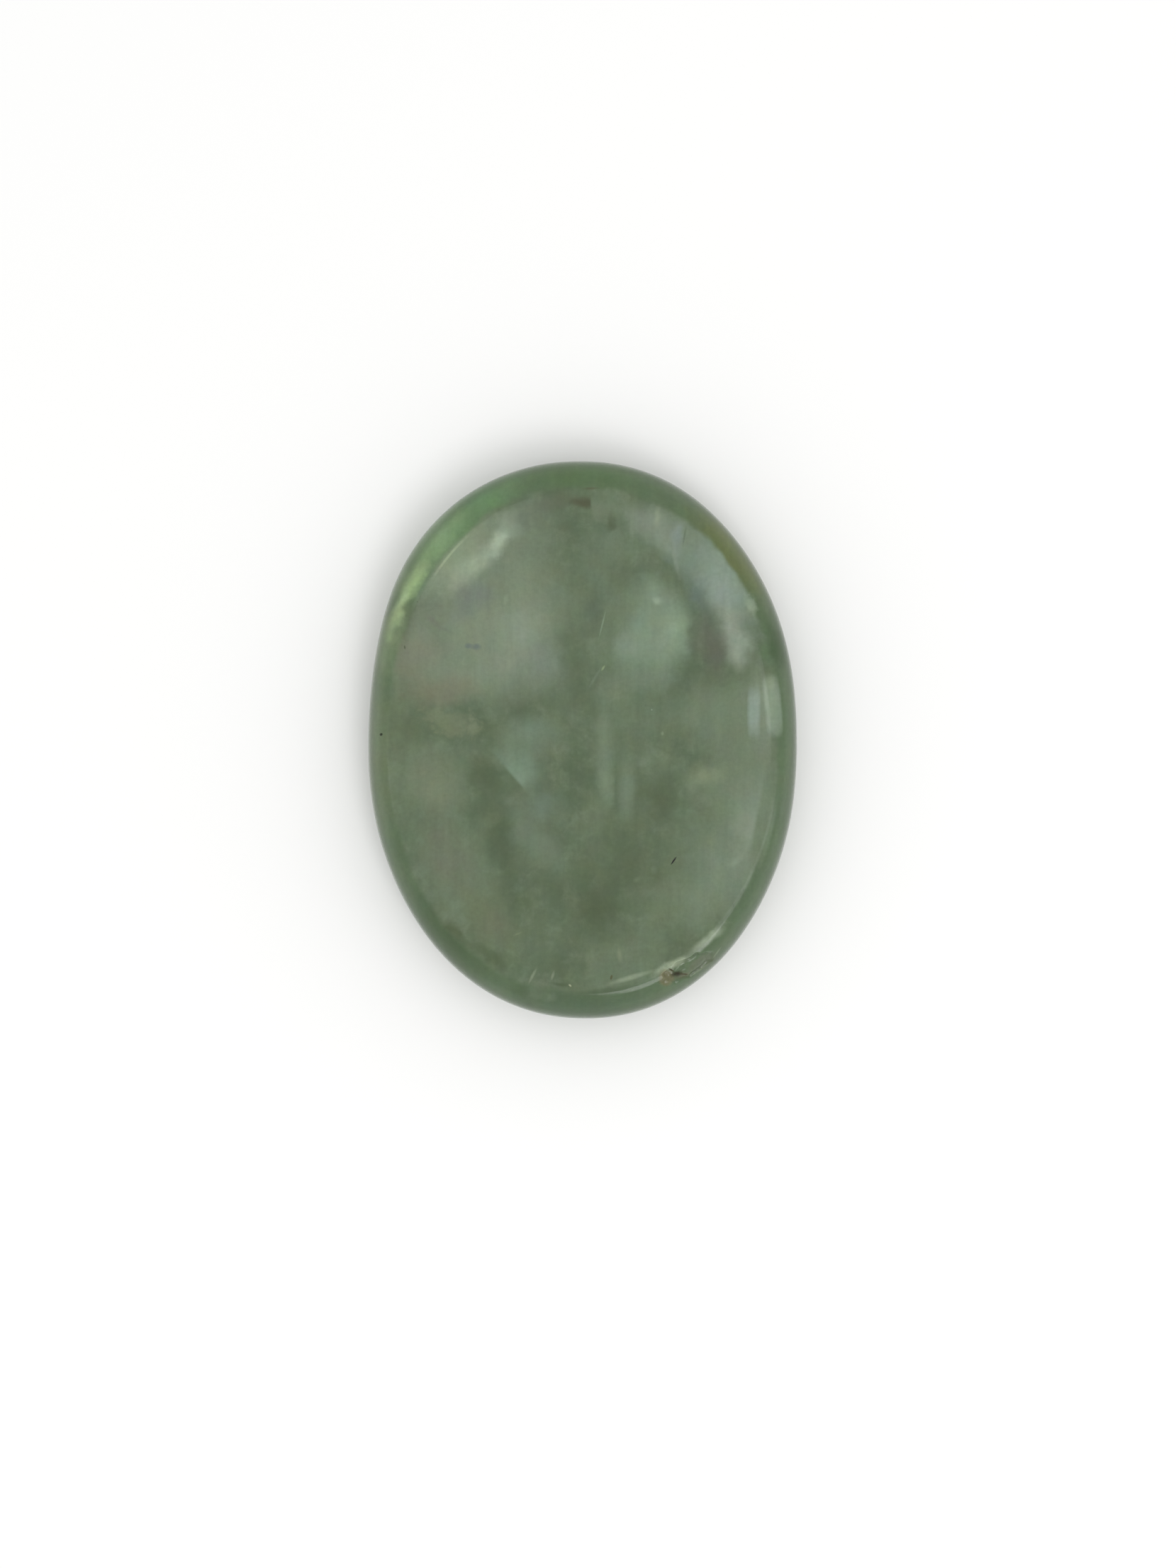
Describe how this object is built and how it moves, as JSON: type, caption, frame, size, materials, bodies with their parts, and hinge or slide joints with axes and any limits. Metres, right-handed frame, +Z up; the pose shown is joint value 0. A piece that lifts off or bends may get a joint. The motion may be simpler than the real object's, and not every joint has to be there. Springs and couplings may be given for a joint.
{
  "type": "crystal worry stone",
  "caption": "Polished oval pebble of cloudy green crystal with a shallow thumb hollow in its upper face and a softly rounded edge.",
  "frame": {"origin": "on the resting surface, under the middle of the oval: the stone's own flat spot holds this point", "axes": "+Y along the oval's longer axis, towards the end that is up in the picture; +X across it; +Z up, out of the thumb hollow"},
  "size_m": [0.0346, 0.045, 0.0067],
  "materials": {
    "polished_crystal": "polished"
  },
  "bodies": {
    "root": {"worry_stone": "polished_crystal"}
  },
  "joints": []
}
